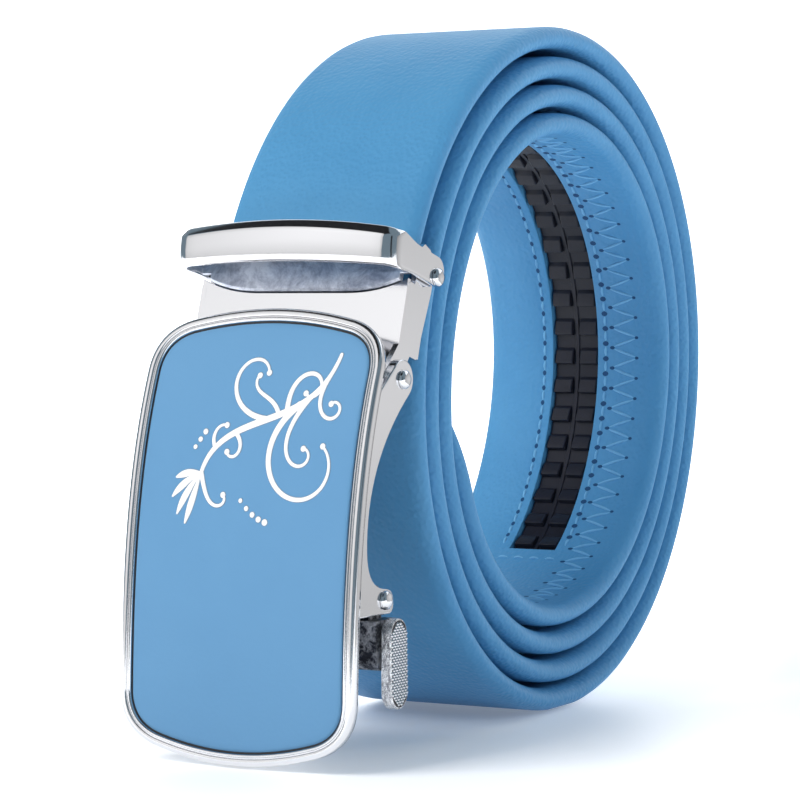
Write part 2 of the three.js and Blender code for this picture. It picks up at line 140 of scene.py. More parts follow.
def strap_place(length, x, depth):
    """A point of the strap: a length from the clip, across it, and under its outer face."""
    low, high = 0, len(stations) - 1
    while high - low > 1:
        middle = (low + high) // 2
        if stations[middle][0] <= length:
            low = middle
        else:
            high = middle
    a, b = stations[low], stations[high]
    share = (length - a[0]) / (b[0] - a[0])
    y, z = (a[2][i] + share * (b[2][i] - a[2][i]) for i in (0, 1))
    iy, iz = unit([a[3][i] + share * (b[3][i] - a[3][i]) for i in (0, 1)])
    return (x, y + depth * iy, z + depth * iz)


def strap_section(half, slot_depth):
    """Points across the strap: outer face, one round edge, the slotted inner face, the other edge."""
    edge = min(EDGE_ROUND, TIP_EDGE_SHARE * half)
    flat = half - edge
    outer = [(flat * share, 0.0) for share in (-1, -0.6, -0.2, 0.2, 0.6, 1)]
    turn = []
    for i in range(1, EDGE_STEPS):
        angle = pi / 2 - pi * i / EDGE_STEPS
        turn.append((flat + edge * cos(angle), STRAP_THICKNESS / 2 * (1 - sin(angle))))
    slot = min(SLOT_WIDTH / 2, TIP_SLOT_SHARE * flat)
    lip = SLOT_LIP if slot_depth else 0.0
    inner = [(flat, 0), (0.6 * (flat - slot) + slot, 0), (slot + SLOT_LIP_RUN, 0),
             (slot, -lip), (slot, -slot_depth)]
    right = [(x, STRAP_THICKNESS + rise) for x, rise in inner]
    left = [(-x, depth) for x, depth in reversed(right)]
    return outer + turn + right + left + [(-x, depth) for x, depth in reversed(turn)]


def strap_rings():
    """The strap's sections, doubled at both ends of the slot, and then its rounded tip."""
    rings = []
    tip_start = strap_length - TIP_LENGTH
    lengths = sorted([row[0] for row in stations if row[0] <= tip_start] + [slot_to])
    for length in lengths:
        depths = (SLOT_DEPTH,) if slot_from < length < slot_to else (0.0,)
        if length == slot_from:
            depths = (0.0, SLOT_DEPTH)
        if length == slot_to:
            depths = (SLOT_DEPTH, 0.0)
        for slot_depth in depths:
            section = strap_section(STRAP_WIDTH / 2, slot_depth)
            rings.append([strap_place(length, x, depth) for x, depth in section])
    for step in range(1, TIP_STEPS + 1):
        share = sin(pi / 2 * step / TIP_STEPS)
        half = STRAP_WIDTH / 2 * max(TIP_END_SHARE, sqrt(max(0, 1 - share ** 2)))
        place = tip_start + TIP_LENGTH * share * TIP_STOP
        rings.append([strap_place(place, x, depth) for x, depth in strap_section(half, 0.0)])
    return rings


def joined_rings(rings, capped=True):
    """Points and faces of a skin over rings of equal count, closed at both ends if it is capped."""
    count = len(rings[0])
    points = [point for ring in rings for point in ring]
    faces = []
    for ring in range(len(rings) - 1):
        for i in range(count):
            j = (i + 1) % count
            a, b = ring * count + i, ring * count + j
            faces.append((a, b, b + count, a + count))
    if capped:
        last = (len(rings) - 1) * count
        faces.append(tuple(range(count)))
        faces.append(tuple(range(last + count - 1, last - 1, -1)))
    return points, faces


def add_rings(points, faces, rings):
    """Adds the closed skin over some rings to the points and faces of a piece."""
    more, skin = joined_rings(rings)
    faces += [tuple(len(points) + i for i in face) for face in skin]
    points += more


def place_mesh(name, skin, body, material, sharp=40):
    """Makes a piece from points in millimetres and faces, smooth but for its sharp edges."""
    points, faces = skin
    mesh = bpy.data.meshes.new(name)
    mesh.from_pydata([[value / 1000 for value in point] for point in points], [], faces)
    work = bmesh.new()
    work.from_mesh(mesh)
    bmesh.ops.remove_doubles(work, verts=work.verts, dist=1e-7)
    bmesh.ops.recalc_face_normals(work, faces=work.faces)
    work.to_mesh(mesh)
    work.free()
    mesh.shade_smooth()
    mesh.set_sharp_from_angle(angle=radians(sharp))
    piece = bpy.data.objects.new(name, mesh)
    bpy.context.scene.collection.objects.link(piece)
    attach(piece, body)
    piece.data.materials.append(material)
    return piece


def fill(made, **values):
    """Sets a node's settings, or else its inputs of those names."""
    for key, value in values.items():
        if hasattr(made, key):
            setattr(made, key, value)
        else:
            made.inputs[key.replace("_", " ")].default_value = value
    return made


def node(tree, kind, **values):
    return fill(tree.nodes.new(kind), **values)


def link(tree, source, output, target, place):
    tree.links.new(source.outputs[output], target.inputs[place])


def new_material(name, roughness, metallic=0.0):
    """A material with its node tree and its shader."""
    material = bpy.data.materials.new(name)
    material.use_nodes = True
    shader = fill(material.node_tree.nodes["Principled BSDF"], Roughness=roughness, Metallic=metallic)
    return material, material.node_tree, shader


def color_ramp(tree, deep_from, deep, pale_from, pale):
    """A ramp from a deep colour to a pale one, with the places where each is reached."""
    ramp = tree.nodes.new("ShaderNodeValToRGB")
    stops = ramp.color_ramp.elements
    stops[0].position = deep_from
    stops[0].color = (*deep, 1)
    stops[1].position = pale_from
    stops[1].color = (*pale, 1)
    return ramp


def add_sockets(group, inputs, outputs):
    """Gives a shader node group its named float inputs, each with a first value, and its outputs."""
    for name, value in inputs:
        socket = group.interface.new_socket(name, in_out="INPUT", socket_type="NodeSocketFloat")
        socket.default_value = value
    for name in outputs:
        group.interface.new_socket(name, in_out="OUTPUT", socket_type="NodeSocketFloat")


def make_grain_group():
    """Leather grain: a height for bumps and a mask of its paler and deeper places."""
    group = bpy.data.node_groups.new("leather_grain", "ShaderNodeTree")
    counts = (("Pebbles", 900.0), ("Wrinkles", 160.0), ("Wrinkle share", 0.25))
    add_sockets(group, counts, ("Height", "Mottle"))
    start = group.nodes.new("NodeGroupInput")
    end = group.nodes.new("NodeGroupOutput")
    place = group.nodes.new("ShaderNodeTexCoord")
    pebble = node(group, "ShaderNodeTexVoronoi", feature="SMOOTH_F1", Smoothness=0.7)
    wrinkle = node(group, "ShaderNodeTexNoise", Detail=6.0, Roughness=0.6, Distortion=0.6)
    mottle = node(group, "ShaderNodeTexNoise", Scale=55.0, Detail=3.0, Roughness=0.55)
    mix = node(group, "ShaderNodeMix", data_type="FLOAT")
    for made in (pebble, wrinkle, mottle):
        link(group, place, "Object", made, "Vector")
    link(group, start, "Pebbles", pebble, "Scale")
    link(group, start, "Wrinkles", wrinkle, "Scale")
    link(group, start, "Wrinkle share", mix, "Factor")
    link(group, pebble, "Distance", mix, "A")
    link(group, wrinkle, "Fac", mix, "B")
    link(group, mix, "Result", end, "Height")
    link(group, mottle, "Fac", end, "Mottle")
    return group


grain_group = make_grain_group()


def leather_material(name, deep, pale, roughness, bump, pebbles):
    """Leather between a deep and a pale tone, with so many pebbles to a metre."""
    material, tree, shader = new_material(name, roughness)
    grain = node(tree, "ShaderNodeGroup", node_tree=grain_group, Pebbles=pebbles)
    ramp = color_ramp(tree, 0.3, deep, 0.7, pale)
    dent = node(tree, "ShaderNodeBump", Strength=bump, Distance=0.0004)
    link(tree, grain, "Mottle", ramp, "Fac")
    link(tree, ramp, "Color", shader, "Base Color")
    link(tree, grain, "Height", dent, "Height")
    link(tree, dent, "Normal", shader, "Normal")
    fill(shader, Specular_IOR_Level=0.25)
    return material


strap_leather = leather_material(
    "strap_leather", (0.07, 0.258, 0.49), (0.084, 0.286, 0.525), roughness=0.48, bump=0.45, pebbles=1300.0)
strap = place_mesh(
    "strap_leather", joined_rings(strap_rings()), "belt_body", strap_leather, sharp=50)
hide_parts("strap")

# The ratchet track: a black moulded rubber strip with two rows of teeth, glued into the slot.
# Each tooth is a block with a steep catching face and a face that eases down the other way.
# Heights are over the slot's floor, and a tooth's profile is shares of its pitch and heights.
TRACK_HALF = 4.2
TRACK_PITCH = 5.55
TRACK_END_GAP = 0.3
TRACK_STEPS = 120
STRIP_FOOT = 0.3
STRIP_TOP = 0.75
RIB_HALF = 0.45
RIB_TOP = 1.0
RIB_SLOPE = 0.15
TOOTH_FOOT = 0.6
TOOTH_PROFILE = ((0.16, TOOTH_FOOT), (0.3, 1.35), (0.62, 1.72), (0.74, 1.72), (0.78, TOOTH_FOOT))
TOOTH_EDGE_GAP = 0.05
TOOTH_RIB_GAP = 0.25
TOOTH_EASE = 0.12


def make_speckle_group():
    """Speckles for rubber and metal: a mask whose grain is set for each axis, finer as it grows."""
    group = bpy.data.node_groups.new("speckle", "ShaderNodeTree")
    group.interface.new_socket("Grain", in_out="INPUT", socket_type="NodeSocketVector")
    settings = (("Detail", 2.0), ("Roughness", 0.5), ("Distortion", 0.0))
    add_sockets(group, settings, ("Mask",))
    start = group.nodes.new("NodeGroupInput")
    end = group.nodes.new("NodeGroupOutput")
    place = group.nodes.new("ShaderNodeTexCoord")
    stretch = group.nodes.new("ShaderNodeMapping")
    noise = node(group, "ShaderNodeTexNoise", Scale=1.0)
    link(group, place, "Object", stretch, "Vector")
    link(group, start, "Grain", stretch, "Scale")
    link(group, stretch, "Vector", noise, "Vector")
    for name, _ in settings:
        link(group, start, name, noise, name)
    link(group, noise, "Fac", end, "Mask")
    return group


speckle_group = make_speckle_group()


def add_speckle(tree, shader, grain, detail, fine_share, strength, distance, distortion=0.0):
    """Places the speckle group in a material, with bumps that follow its mask."""
    speckle = node(tree, "ShaderNodeGroup", node_tree=speckle_group, Grain=grain, Detail=detail,
                   Roughness=fine_share, Distortion=distortion)
    bump = node(tree, "ShaderNodeBump", Strength=strength, Distance=distance)
    link(tree, speckle, "Mask", bump, "Height")
    link(tree, bump, "Normal", shader, "Normal")
    return speckle


def track_material():
    material, tree, shader = new_material("track_rubber", 0.42)
    fill(shader, Base_Color=(0.012, 0.013, 0.021, 1), Specular_IOR_Level=0.3)
    add_speckle(tree, shader, grain=(1500.0, 1500.0, 1500.0), detail=2.0, fine_share=0.5,
                strength=0.15, distance=0.0002)
    return material


def soften(piece, width, segments=2, angle=30):
    """Rounds the edges of a piece by a width in millimetres."""
    edges = piece.modifiers.new("soft_edges", "BEVEL")
    edges.width = width / 1000
    edges.segments = segments
    edges.limit_method = "ANGLE"
    edges.angle_limit = radians(angle)


def track_place(length, x, height):
    return strap_place(length, x, STRAP_THICKNESS - SLOT_DEPTH + height)


track_from = slot_from + TRACK_END_GAP
track_run = slot_to - slot_from - 2 * TRACK_END_GAP


def track_strip():
    """The strip under the teeth, with a low rib along its middle."""
    right = [(TRACK_HALF, STRIP_FOOT), (TRACK_HALF, STRIP_TOP), (RIB_HALF, STRIP_TOP),
             (RIB_HALF - RIB_SLOPE, RIB_TOP)]
    left = [(-x, height) for x, height in reversed(right)]
    section = left[-1:] + right + left[:-1]
    rings = []
    for step in range(TRACK_STEPS + 1):
        length = track_from + track_run * step / TRACK_STEPS
        rings.append([track_place(length, x, height) for x, height in section])
    return joined_rings(rings)


def track_teeth():
    points, faces = [], []
    count = round(track_run / TRACK_PITCH)
    pitch = track_run / count
    inner = RIB_HALF + TOOTH_RIB_GAP
    outer = TRACK_HALF - TOOTH_EDGE_GAP
    for tooth in range(count):
        start = track_from + tooth * pitch
        for near, far in ((-outer, -inner), (inner, outer)):
            rings = []
            for x in (near, near + TOOTH_EASE, far - TOOTH_EASE, far):
                drop = TOOTH_EASE if x in (near, far) else 0
                heights = [height - drop if height > TOOTH_FOOT else height for _, height in TOOTH_PROFILE]
                rings.append([track_place(start + row[0] * pitch, x, height)
                              for row, height in zip(TOOTH_PROFILE, heights)])
            add_rings(points, faces, rings)
    return points, faces


rubber = track_material()
track = place_mesh("track_strip", track_strip(), "belt_body", rubber, sharp=30)
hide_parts("ratchet_track")
teeth = place_mesh("track_teeth", track_teeth(), "belt_body", rubber, sharp=30)
soften(teeth, 0.1)

# The stitching: pale blue thread beside the slot, across its end, and in a zig-zag by one edge.
# Each stitch is a short thread that dips into the leather at both ends, where the needle went in.
STITCH_PITCH = 2.9
STITCH_LENGTH = 2.1
STITCH_RISE = 0.3
THREAD_RADIUS = 0.27
THREAD_SINK = 0.22
THREAD_END_SHARE = 0.55
THREAD_SIDES = 6
THREAD_STEPS = 6
SLOT_STITCH_X = 6.1
SLOT_STITCH_LEAD = 1.5
SLOT_STITCH_OVERRUN = 4
SLOT_END_STITCH_GAP = 2.6
SLOT_END_SHIFT = 0.15
SEAM_INNER_X = 7.4
SEAM_OUTER_X = 12.2
SEAM_PITCH = 3.9
SEAM_RISE = 0.28
SEAM_GAP = 0.2
SEAM_FIRST_TURN = 2.2
SEAM_BEFORE_TIP = 14
HOLE_SIDES = 8
HOLE_LIFT = 0.02


def stitch_starts():
    """Where along the strap each stitch beside the slot begins."""
    count = int((slot_to - slot_from + SLOT_STITCH_OVERRUN) / STITCH_PITCH)
    return [slot_from - SLOT_STITCH_LEAD + i * STITCH_PITCH for i in range(count)]


def seam_starts():
    """Where along the strap each tooth of the zig-zag begins."""
    seam_from = length_at(SEAM_FIRST_TURN)
    seam_to = strap_length - TIP_LENGTH - SEAM_BEFORE_TIP
    return [seam_from + i * SEAM_PITCH for i in range(int((seam_to - seam_from) / SEAM_PITCH))]


def add_thread(points, faces, start, end, rise):
    """Adds one bowed thread between two (length, x) places on the inner face."""
    first = len(points)
    direction = unit((end[0] - start[0], end[1] - start[1]))
    for step in range(THREAD_STEPS + 1):
        share = step / THREAD_STEPS
        swell = sin(pi * share)
        length = start[0] + share * (end[0] - start[0])
        x = start[1] + share * (end[1] - start[1])
        bow = rise * swell - THREAD_SINK
        radius = THREAD_RADIUS * (THREAD_END_SHARE + (1 - THREAD_END_SHARE) * swell)
        for side in range(THREAD_SIDES):
            angle = 2 * pi * side / THREAD_SIDES
            sideways = radius * cos(angle)
            depth = STRAP_THICKNESS + bow + radius * sin(angle)
            points.append(strap_place(length - sideways * direction[1], x + sideways * direction[0], depth))
    for step in range(THREAD_STEPS):
        for side in range(THREAD_SIDES):
            a = first + step * THREAD_SIDES + side
            b = first + step * THREAD_SIDES + (side + 1) % THREAD_SIDES
            faces.append((a, b, b + THREAD_SIDES, a + THREAD_SIDES))


def stitches():
    points, faces = [], []
    for x in (-SLOT_STITCH_X, SLOT_STITCH_X):
        for start in stitch_starts():
            add_thread(points, faces, (start, x), (start + STITCH_LENGTH, x), STITCH_RISE)
    across = int(2 * SLOT_STITCH_X / STITCH_PITCH)
    end = slot_to + SLOT_END_STITCH_GAP
    for i in range(across):
        x = -SLOT_STITCH_X + (i + SLOT_END_SHIFT) * 2 * SLOT_STITCH_X / across
        add_thread(points, faces, (end, x), (end, x + STITCH_LENGTH), STITCH_RISE)
    for start in seam_starts():
        middle = start + 0.5 * SEAM_PITCH
        last = start + SEAM_PITCH
        add_thread(points, faces, (start + SEAM_GAP, SEAM_INNER_X), (middle, SEAM_OUTER_X), SEAM_RISE)
        add_thread(points, faces, (middle + SEAM_GAP, SEAM_OUTER_X), (last, SEAM_INNER_X), SEAM_RISE)
    return points, faces


def needle_holes():
    """Flat dark discs where the needle went through, painted shade for each hole, with its half sizes along
    and across.
    """
    places = []
    for x, wide in ((-SLOT_STITCH_X, 0.36), (SLOT_STITCH_X, 0.6)):
        for start in stitch_starts():
            places.append((start - 0.5 * (STITCH_PITCH - STITCH_LENGTH), x, 0.5, wide))
    for start in seam_starts():
        middle = start + 0.5 * SEAM_GAP
        places.append((middle, SEAM_INNER_X, 0.34, 0.5))
        places.append((middle + 0.5 * SEAM_PITCH, SEAM_OUTER_X, 0.3, 0.36))
    points, faces = [], []
    for middle, x, long, wide in places:
        first = len(points)
        for side in range(HOLE_SIDES):
            angle = 2 * pi * side / HOLE_SIDES
            points.append(strap_place(middle + long * cos(angle), x + wide * sin(angle),
                                      STRAP_THICKNESS + HOLE_LIFT))
        faces.append(tuple(range(first, first + HOLE_SIDES)))
    return points, faces


def plain_material(name, color, roughness, metallic=0.0):
    material, _, shader = new_material(name, roughness, metallic)
    fill(shader, Base_Color=(*color, 1))
    return material


thread = plain_material("stitch_thread", (0.16, 0.42, 0.68), 0.7)
# The needle holes are flat near-black discs just over the leather: painted shade for the holes.
painted_hole_shade = plain_material("needle_hole", (0.012, 0.06, 0.16), 0.9)
place_mesh("stitching", stitches(), "belt_body", thread, sharp=180)
place_mesh("needle_holes", needle_holes(), "belt_body", painted_hole_shade, sharp=180)

# The clip on the strap end: pressed and plated metal, folded round the strap and hinged below.
# It keeps its shape with its edges eased, and a lip closes its front up to the loop's jaw.
LIP_HALF = 18.6
LIP_STEPS = 24
LIP_BACK = 0.33
LIP_FRONT = 1.19
LIP_FOOT = -0.6
LIP_EASE = 0.08
JAW_GAP = 0.15
JAW_FOOT = 0.6
JAW_RISE = 2.3
JAW_FLAT_SHARE = 0.4
JAW_CURVE = 2.4


def dress(node_name, material, bevel):
    """Puts a material on a CAD node, with a small bevel for its edges."""
    piece = nodes[node_name]
    piece.data.materials.clear()
    piece.data.materials.append(material)
    soften(piece, bevel, 2, 40)


def jaw_foot(x):
    """Height of the jaw's lower edge, which curves up towards both flanges."""
    share = max(0, abs(x) / LIP_HALF - JAW_FLAT_SHARE) / (1 - JAW_FLAT_SHARE)
    return JAW_FOOT + JAW_RISE * share ** JAW_CURVE


def lip_rings():
    """The lip follows the jaw's lower edge and meets both flanges."""
    rings = []
    for step in range(2 * LIP_STEPS + 1):
        x = LIP_HALF * (step / LIP_STEPS - 1)
        top = jaw_foot(x) - JAW_GAP
        section = ((LIP_BACK, LIP_FOOT), (LIP_FRONT, LIP_FOOT), (LIP_FRONT, top - LIP_EASE),
                   (LIP_FRONT - LIP_EASE, top), (LIP_BACK + LIP_EASE, top), (LIP_BACK, top - LIP_EASE))
        rings.append([(x, *clip_point(out, up)) for out, up in section])
    return rings


bright = plain_material("bright_metal", (0.75, 0.75, 0.77), 0.12, 1.0)
dress("clip_channel", bright, 0.2)
place_mesh("clip_lip", joined_rings(lip_rings()), "belt_body", bright, sharp=20)

# The pins of the loop and of the plate: plain shafts with a low domed rivet head at each end.
# A head's profile is how far out it reaches past the flange, and its radius there.
LOOP_REACH = 19.85
EAR_REACH = 20.85
PIN_RADIUS = 1
PIN_SIDES = 16
PIN_OVERLAP = 0.1
HEAD_SIDES = 32
HEAD_PROFILE = ((0, 0.001), (0, 1.43), (0.2, 1.47), (0.5, 1.32), (0.78, 0.95), (0.92, 0.45), (0.95, 0.001))


def pin_ring(x, centre, radius, sides):
    angles = [2 * pi * i / sides for i in range(sides)]
    return [(x, centre[0] + radius * cos(angle), centre[1] + radius * sin(angle))
            for angle in angles]


def rivet(name, reach, centre, body, replaced):
    """A pin along X with a smooth domed head at each end; centre is its Y and Z."""
    points, faces = [], []
    for sign in (-1, 1):
        add_rings(points, faces, [pin_ring(sign * (reach + out), centre, radius, HEAD_SIDES)
                                  for out, radius in HEAD_PROFILE])
    ends = (-reach - PIN_OVERLAP, reach + PIN_OVERLAP)
    add_rings(points, faces, [pin_ring(x, centre, PIN_RADIUS, PIN_SIDES) for x in ends])
    piece = place_mesh(name, (points, faces), body, bright, sharp=60)
    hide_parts(replaced)


def centre_of(node_name):
    low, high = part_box(node_name)
    return (500 * (low[1] + high[1]), 500 * (low[2] + high[2]))


rivet("clamp_rivets", LOOP_REACH, centre_of("clamp_pin"), "belt_body", "clamp_pin")
rivet("hinge_rivets", EAR_REACH, centre_of("hinge_pin"), "belt_body", "hinge_pin")

# The keeper loop: a plated bar bent round the front of the clip, with the worn jaw behind it.
# Its arms narrow towards the pin, and its front bar is bowed, and crowned along the top.
LOOP_HALF = 19.375
LOOP_WALL = 0.85
LOOP_BAR = 1.3
LOOP_INNER_FRONT = 6.5
LOOP_FOOT = 2.8
LOOP_HEIGHT = 5.7
LOOP_CROWN = 1.4
LOOP_FOOT_CROWN = 0.7
LOOP_CROWN_HALF = LOOP_HALF + 1.5
LOOP_EASE = 0.3
LOOP_TUCK = 0.3 * LOOP_EASE
LOOP_BULGE = 0.5
LOOP_SWELL_RATE = 1.6
LOOP_CHAMFER = 1.0
CHAMFER_DROP = 1.6
CHAMFER_CURVE = ((0.12, 1.35), (0.9, 0.3))
LOOP_BOW = 0.75
LOOP_LEAN = 0.12
LOOP_LEAN_FROM = -2
LOOP_LEAN_RUN = 6
LOOP_CORNER = 2.0
LOOP_BACK = -7.2
LOOP_STEPS = 24
LOOP_CORNER_STEPS = 12
ARM_FOOT = 3.25
ARM_TOP = 7.85
ARM_MIDDLE = 5.0
ARM_TAPER = 5.5
ARM_TAPER_FROM = LOOP_INNER_FRONT - 0.4
ARM_END_ROUND = 2.4
ARM_END_SHARE = 0.2


def loop_path():
    """Stations of the loop from one arm's end to the other: X, out, and the outward normal."""
    front = LOOP_INNER_FRONT + LOOP_BAR / 2
    arm = front - LOOP_CORNER
    run = LOOP_HALF - LOOP_CORNER
    path = []
    for i in range(LOOP_STEPS):
        path.append((-LOOP_HALF, LOOP_BACK + (arm - LOOP_BACK) * i / LOOP_STEPS, -1.0, 0.0))
    for i in range(LOOP_CORNER_STEPS + 1):
        angle = pi / 2 * i / LOOP_CORNER_STEPS
        x = -LOOP_HALF + LOOP_CORNER * (1 - cos(angle))
        path.append((x, arm + LOOP_CORNER * sin(angle), -cos(angle), sin(angle)))
    other_half = [(-x, out, -nx, no) for x, out, nx, no in reversed(path)]
    for i in range(1, LOOP_STEPS):
        path.append((-run + 2 * run * i / LOOP_STEPS, front, 0.0, 1.0))
    return path + other_half


def loop_edges(out, x):
    """Foot and top of the loop at a place along it."""
    crown = 1 - (x / LOOP_CROWN_HALF) ** 2
    foot = LOOP_FOOT + LOOP_FOOT_CROWN * crown
    top = LOOP_FOOT + LOOP_HEIGHT + LOOP_CROWN * crown
    taper = min(1, max(0, (ARM_TAPER_FROM - out) / ARM_TAPER))
    ease = taper * taper * (3 - 2 * taper)
    foot += ease * (ARM_FOOT - foot)
    top += ease * (ARM_TOP - top)
    end = min(1, max(0, (out - LOOP_BACK) / ARM_END_ROUND))
    height = max(ARM_END_SHARE, sqrt(max(0.0, 1 - (1 - end) ** 2)))
    return ARM_MIDDLE + (foot - ARM_MIDDLE) * height, ARM_MIDDLE + (top - ARM_MIDDLE) * height


def loop_section(foot, top, half, facing):
    """Round the bar as (along the normal, up) places; facing is 1 on the front bar, 0 on an arm."""
    ease, tuck = LOOP_EASE, LOOP_TUCK
    chamfer = LOOP_CHAMFER * facing
    section = [(-half, foot + ease), (-half + tuck, foot + tuck), (-half + ease, foot),
               (half - ease, foot), (half - tuck, foot + tuck), (half, foot + ease)]
    for share in [step / 8 for step in range(1, 9)]:
        bulge = LOOP_BULGE * facing * sin(pi / 2 * min(1, LOOP_SWELL_RATE * share))
        section.append((half + bulge, foot + share * (top - foot - CHAMFER_DROP * chamfer)))
    front = half + LOOP_BULGE * facing
    section += [(front - back * chamfer, top - down * chamfer) for back, down in CHAMFER_CURVE]
    section += [(front - chamfer - 0.05, top - 0.1), (front - chamfer - ease, top)]
    return section + [(-half + ease, top), (-half + tuck, top - tuck), (-half, top - ease)]


def loop_rings():
    rings = []
    for x, out, nx, no in loop_path():
        foot, top = loop_edges(out, x)
        facing = max(0, no)
        half = (LOOP_WALL + (LOOP_BAR - LOOP_WALL) * min(1, facing) ** 2) / 2
        out += LOOP_BOW * facing * (1 - (x / LOOP_HALF) ** 2)
        lean = LOOP_LEAN * min(1, max(0, (out - LOOP_LEAN_FROM) / LOOP_LEAN_RUN))
        ring = []
        for along, up in loop_section(foot, top, half, facing):
            ring.append((x + along * nx, *clip_point(out + along * no + lean * (up - LOOP_FOOT), up)))
        rings.append(ring)
    return rings


def speckled_metal(name, roughness, tones, **speckle):
    """A metal whose colour and bumps follow one speckle; tones are the values of its ramp."""
    material, tree, shader = new_material(name, roughness, 1.0)
    ramp = color_ramp(tree, *tones)
    link(tree, add_speckle(tree, shader, **speckle), "Mask", ramp, "Fac")
    link(tree, ramp, "Color", shader, "Base Color")
    return material


def side_prism(name, outline, x0, x1, body, material, bevel):
    """A piece with a Y, Z outline that runs along X, its edges eased."""
    rings = [[(x, y, z) for y, z in outline] for x in (x0, x1)]
    piece = place_mesh(name, joined_rings(rings), body, material, sharp=30)
    soften(piece, bevel, 3)
    return piece


JAW_HALF = 17.2
JAW_STEPS = 22
JAW_BACK = 0.35
JAW_FRONT = 1.5
JAW_TOP = 6.4
JAW_ENDS_HALF = 19.0
JAW_ENDS_BACK = 0.8
JAW_ENDS_FOOT = 3.4


def jaw_rings():
    """The jaw is a bar just above the lip, with its lower front edge rounded."""
    rings = []
    for step in range(2 * JAW_STEPS + 1):
        x = JAW_HALF * (step / JAW_STEPS - 1)
        foot = jaw_foot(x)
        section = ((JAW_BACK, foot), (JAW_FRONT - 0.3, foot + 0.1), (JAW_FRONT, foot + 0.5),
                   (JAW_FRONT, JAW_TOP), (JAW_BACK, JAW_TOP))
        rings.append([(x, *clip_point(out, up)) for out, up in section])
    return rings


loop = place_mesh(
    "keeper_loop_bar", joined_rings(loop_rings()), "loop", bright, sharp=35)
jaw_metal = speckled_metal(
    "jaw_metal", 0.4, (0.38, (0.34, 0.37, 0.47), 0.6, (0.8, 0.83, 0.91)),
    grain=(260.0, 260.0, 260.0), detail=8.0, fine_share=0.75, distortion=0.4, strength=0.3, distance=0.0003)
place_mesh("loop_jaw", joined_rings(jaw_rings()), "loop", jaw_metal, sharp=30)
jaw_ends = [clip_point(JAW_ENDS_BACK, JAW_ENDS_FOOT), clip_point(JAW_FRONT, JAW_ENDS_FOOT),
            clip_point(JAW_FRONT, JAW_TOP), clip_point(JAW_ENDS_BACK, JAW_TOP)]
side_prism("loop_jaw_ends", jaw_ends, -JAW_ENDS_HALF, JAW_ENDS_HALF, "loop", jaw_metal, 0.2)
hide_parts("keeper_loop")

# The plate: a bent sheet of plated metal with a raised rim, two side ears and a leather inlay.
# The rim has a broad polished band, a fine groove and a narrow inner lip.
# Its section is pairs of inset from the outline and depth behind the front face, from the back on.
PLATE_WIDTH = 41.8
PLATE_HEIGHT = 68.3
PLATE_THICKNESS = 1.8
PLATE_FOOT = -75.7 + REST_SHIFT
PLATE_CORNER = 6.0
PLATE_CORNER_SHRINK = 0.6
PLATE_FOOT_SLOPE = radians(2)
PLATE_BEND = radians(27.5)
PLATE_BEND_LENGTH = 69
PLATE_SHEET_LENGTH = 76
ROWS_PER_MM = 10
ROWS_BACK = 5
ROWS_AHEAD = 60
PLATE_BOTTOM_RISE = 4.5
PLATE_TOP_FALL = 3.5
PLATE_EDGE_STEPS = 26
PLATE_CORNER_STEPS = 12
RIM_SECTION = (
    (0.25, PLATE_THICKNESS), (0.0, PLATE_THICKNESS - 0.25), (0.0, 0.55), (0.08, 0.3), (0.3, 0.08),
    (0.6, 0.0), (1.0, 0.0), (1.15, 0.08), (1.22, 0.28), (1.38, 0.28), (1.45, 0.08), (1.6, 0.02),
    (1.8, 0.08), (1.92, 0.3), (1.95, 0.9), (1.95, PLATE_THICKNESS),
)


def plate_slope(run):
    return PLATE_FOOT_SLOPE + PLATE_BEND * (max(0, run) / PLATE_BEND_LENGTH) ** 2


def plate_profile():
    """Height, Y and slope along the plate's front face, by small steps from its foot."""
    rows = []
    y, z = PLATE_FOOT, 0.0
    for step in range(PLATE_SHEET_LENGTH * ROWS_PER_MM):
        rows.append((z, y, plate_slope(step / ROWS_PER_MM)))
        angle = plate_slope((step + 0.5) / ROWS_PER_MM)
        y += sin(angle) / ROWS_PER_MM
        z += cos(angle) / ROWS_PER_MM
    return rows


plate_rows = plate_profile()


def plate_place(x, z, depth=0.0):
    """A point behind the plate's front face, seen from the front at X and Z."""
    guess = int(z * ROWS_PER_MM)
    near = range(max(0, guess - ROWS_BACK), min(len(plate_rows), guess + ROWS_AHEAD))
    row_z, y, slope = plate_rows[min(near, key=lambda i: abs(plate_rows[i][0] - z), default=0)]
    y += (z - row_z) * tan(slope)
    return (x, y + depth * cos(slope), z - depth * sin(slope))


def bezier(controls, share):
    """The place at a share of the smooth curve that a few control places pull on."""
    while len(controls) > 1:
        controls = [tuple(a[k] + share * (b[k] - a[k]) for k in (0, 1))
                    for a, b in zip(controls, controls[1:])]
    return controls[0]


def curve(start, control, end, steps=10):
    """Places on a bent line, without its end."""
    return [bezier((start, control, end), i / steps) for i in range(steps)]


